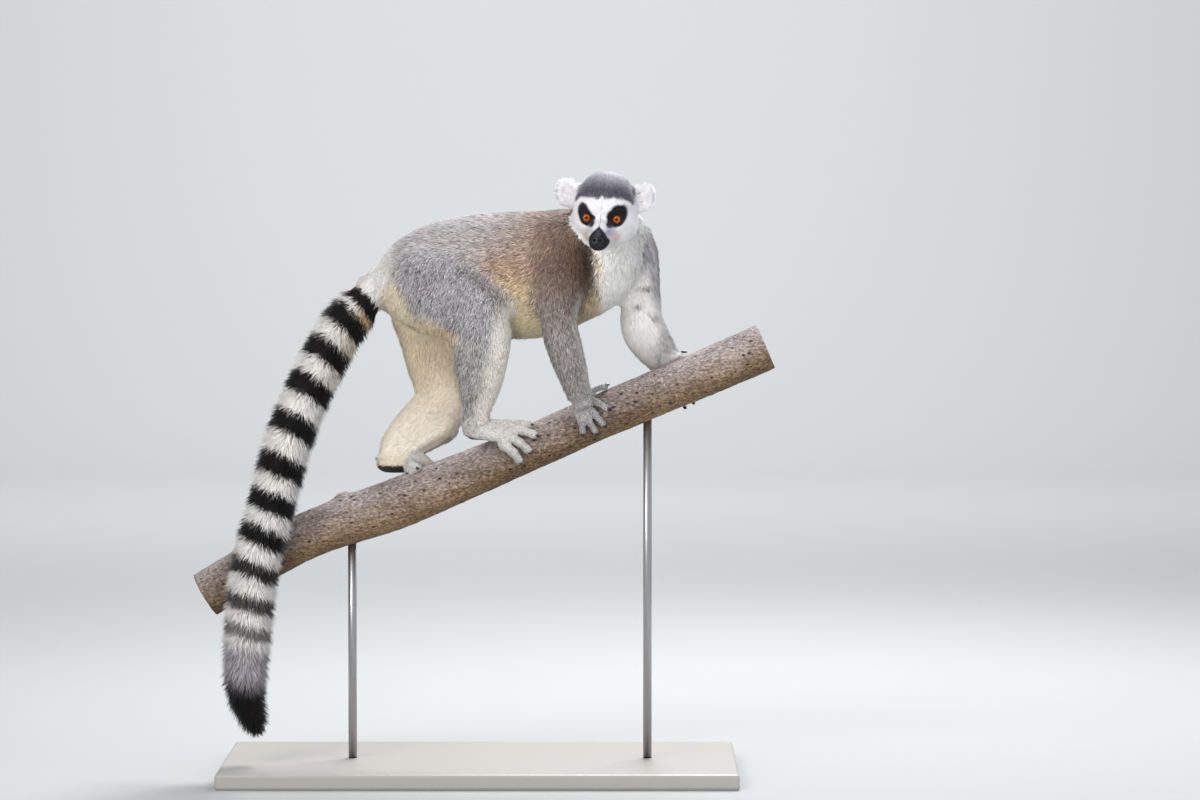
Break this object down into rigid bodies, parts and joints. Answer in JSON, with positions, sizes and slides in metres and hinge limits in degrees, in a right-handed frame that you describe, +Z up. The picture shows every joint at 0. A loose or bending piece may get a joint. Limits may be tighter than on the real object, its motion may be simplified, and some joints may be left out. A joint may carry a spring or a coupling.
{
  "type": "ring-tailed lemur model",
  "caption": "Still life-size ring-tailed lemur walking up a cut length of branch with its face turned to the side, held by a plain display stand with a flat base and upright rods.",
  "frame": {"origin": "middle of the stand base's underside", "axes": "+Z up, +X the way the animal walks up the branch, -Y the side its chest and face turn to"},
  "size_m": [0.6824, 0.3, 0.7052],
  "materials": {
    "coat_grey": "dense soft fur, grey with dark flecks",
    "coat_brown": "dense soft fur, rosy brown over the shoulders",
    "coat_white": "short soft fur, white to cream",
    "coat_ringed": "long loose fur in black and white rings",
    "bare_skin_dark": "bare black skin, fine grained, moist at the nose",
    "iris_orange": "wet glossy eye with an orange iris",
    "bark": "thin grey-brown bark with small pores and knots",
    "stand_board": "plain satin painted board",
    "rod_steel": "plain brushed rod"
  },
  "bodies": {
    "root": {"head": "coat_white", "muzzle": "bare_skin_dark", "ear_left": "coat_white", "ear_right": "coat_white", "eye_left": "iris_orange", "eye_right": "iris_orange", "neck": "coat_brown", "trunk": "coat_grey", "upper_arm_left": "coat_grey", "upper_arm_right": "coat_grey", "forearm_left": "coat_grey", "forearm_right": "coat_grey", "hand_left": "coat_grey", "hand_right": "coat_grey", "thigh_left": "coat_grey", "thigh_right": "coat_grey", "shank_left": "coat_grey", "shank_right": "coat_grey", "foot_left": "coat_white", "foot_right": "coat_white", "tail_1": "coat_ringed", "tail_2": "coat_ringed", "tail_3": "coat_ringed", "tail_4": "coat_ringed", "perch": "bark", "stand_base": "stand_board", "stand_rod_1": "rod_steel", "stand_rod_2": "rod_steel"}
  },
  "joints": []
}
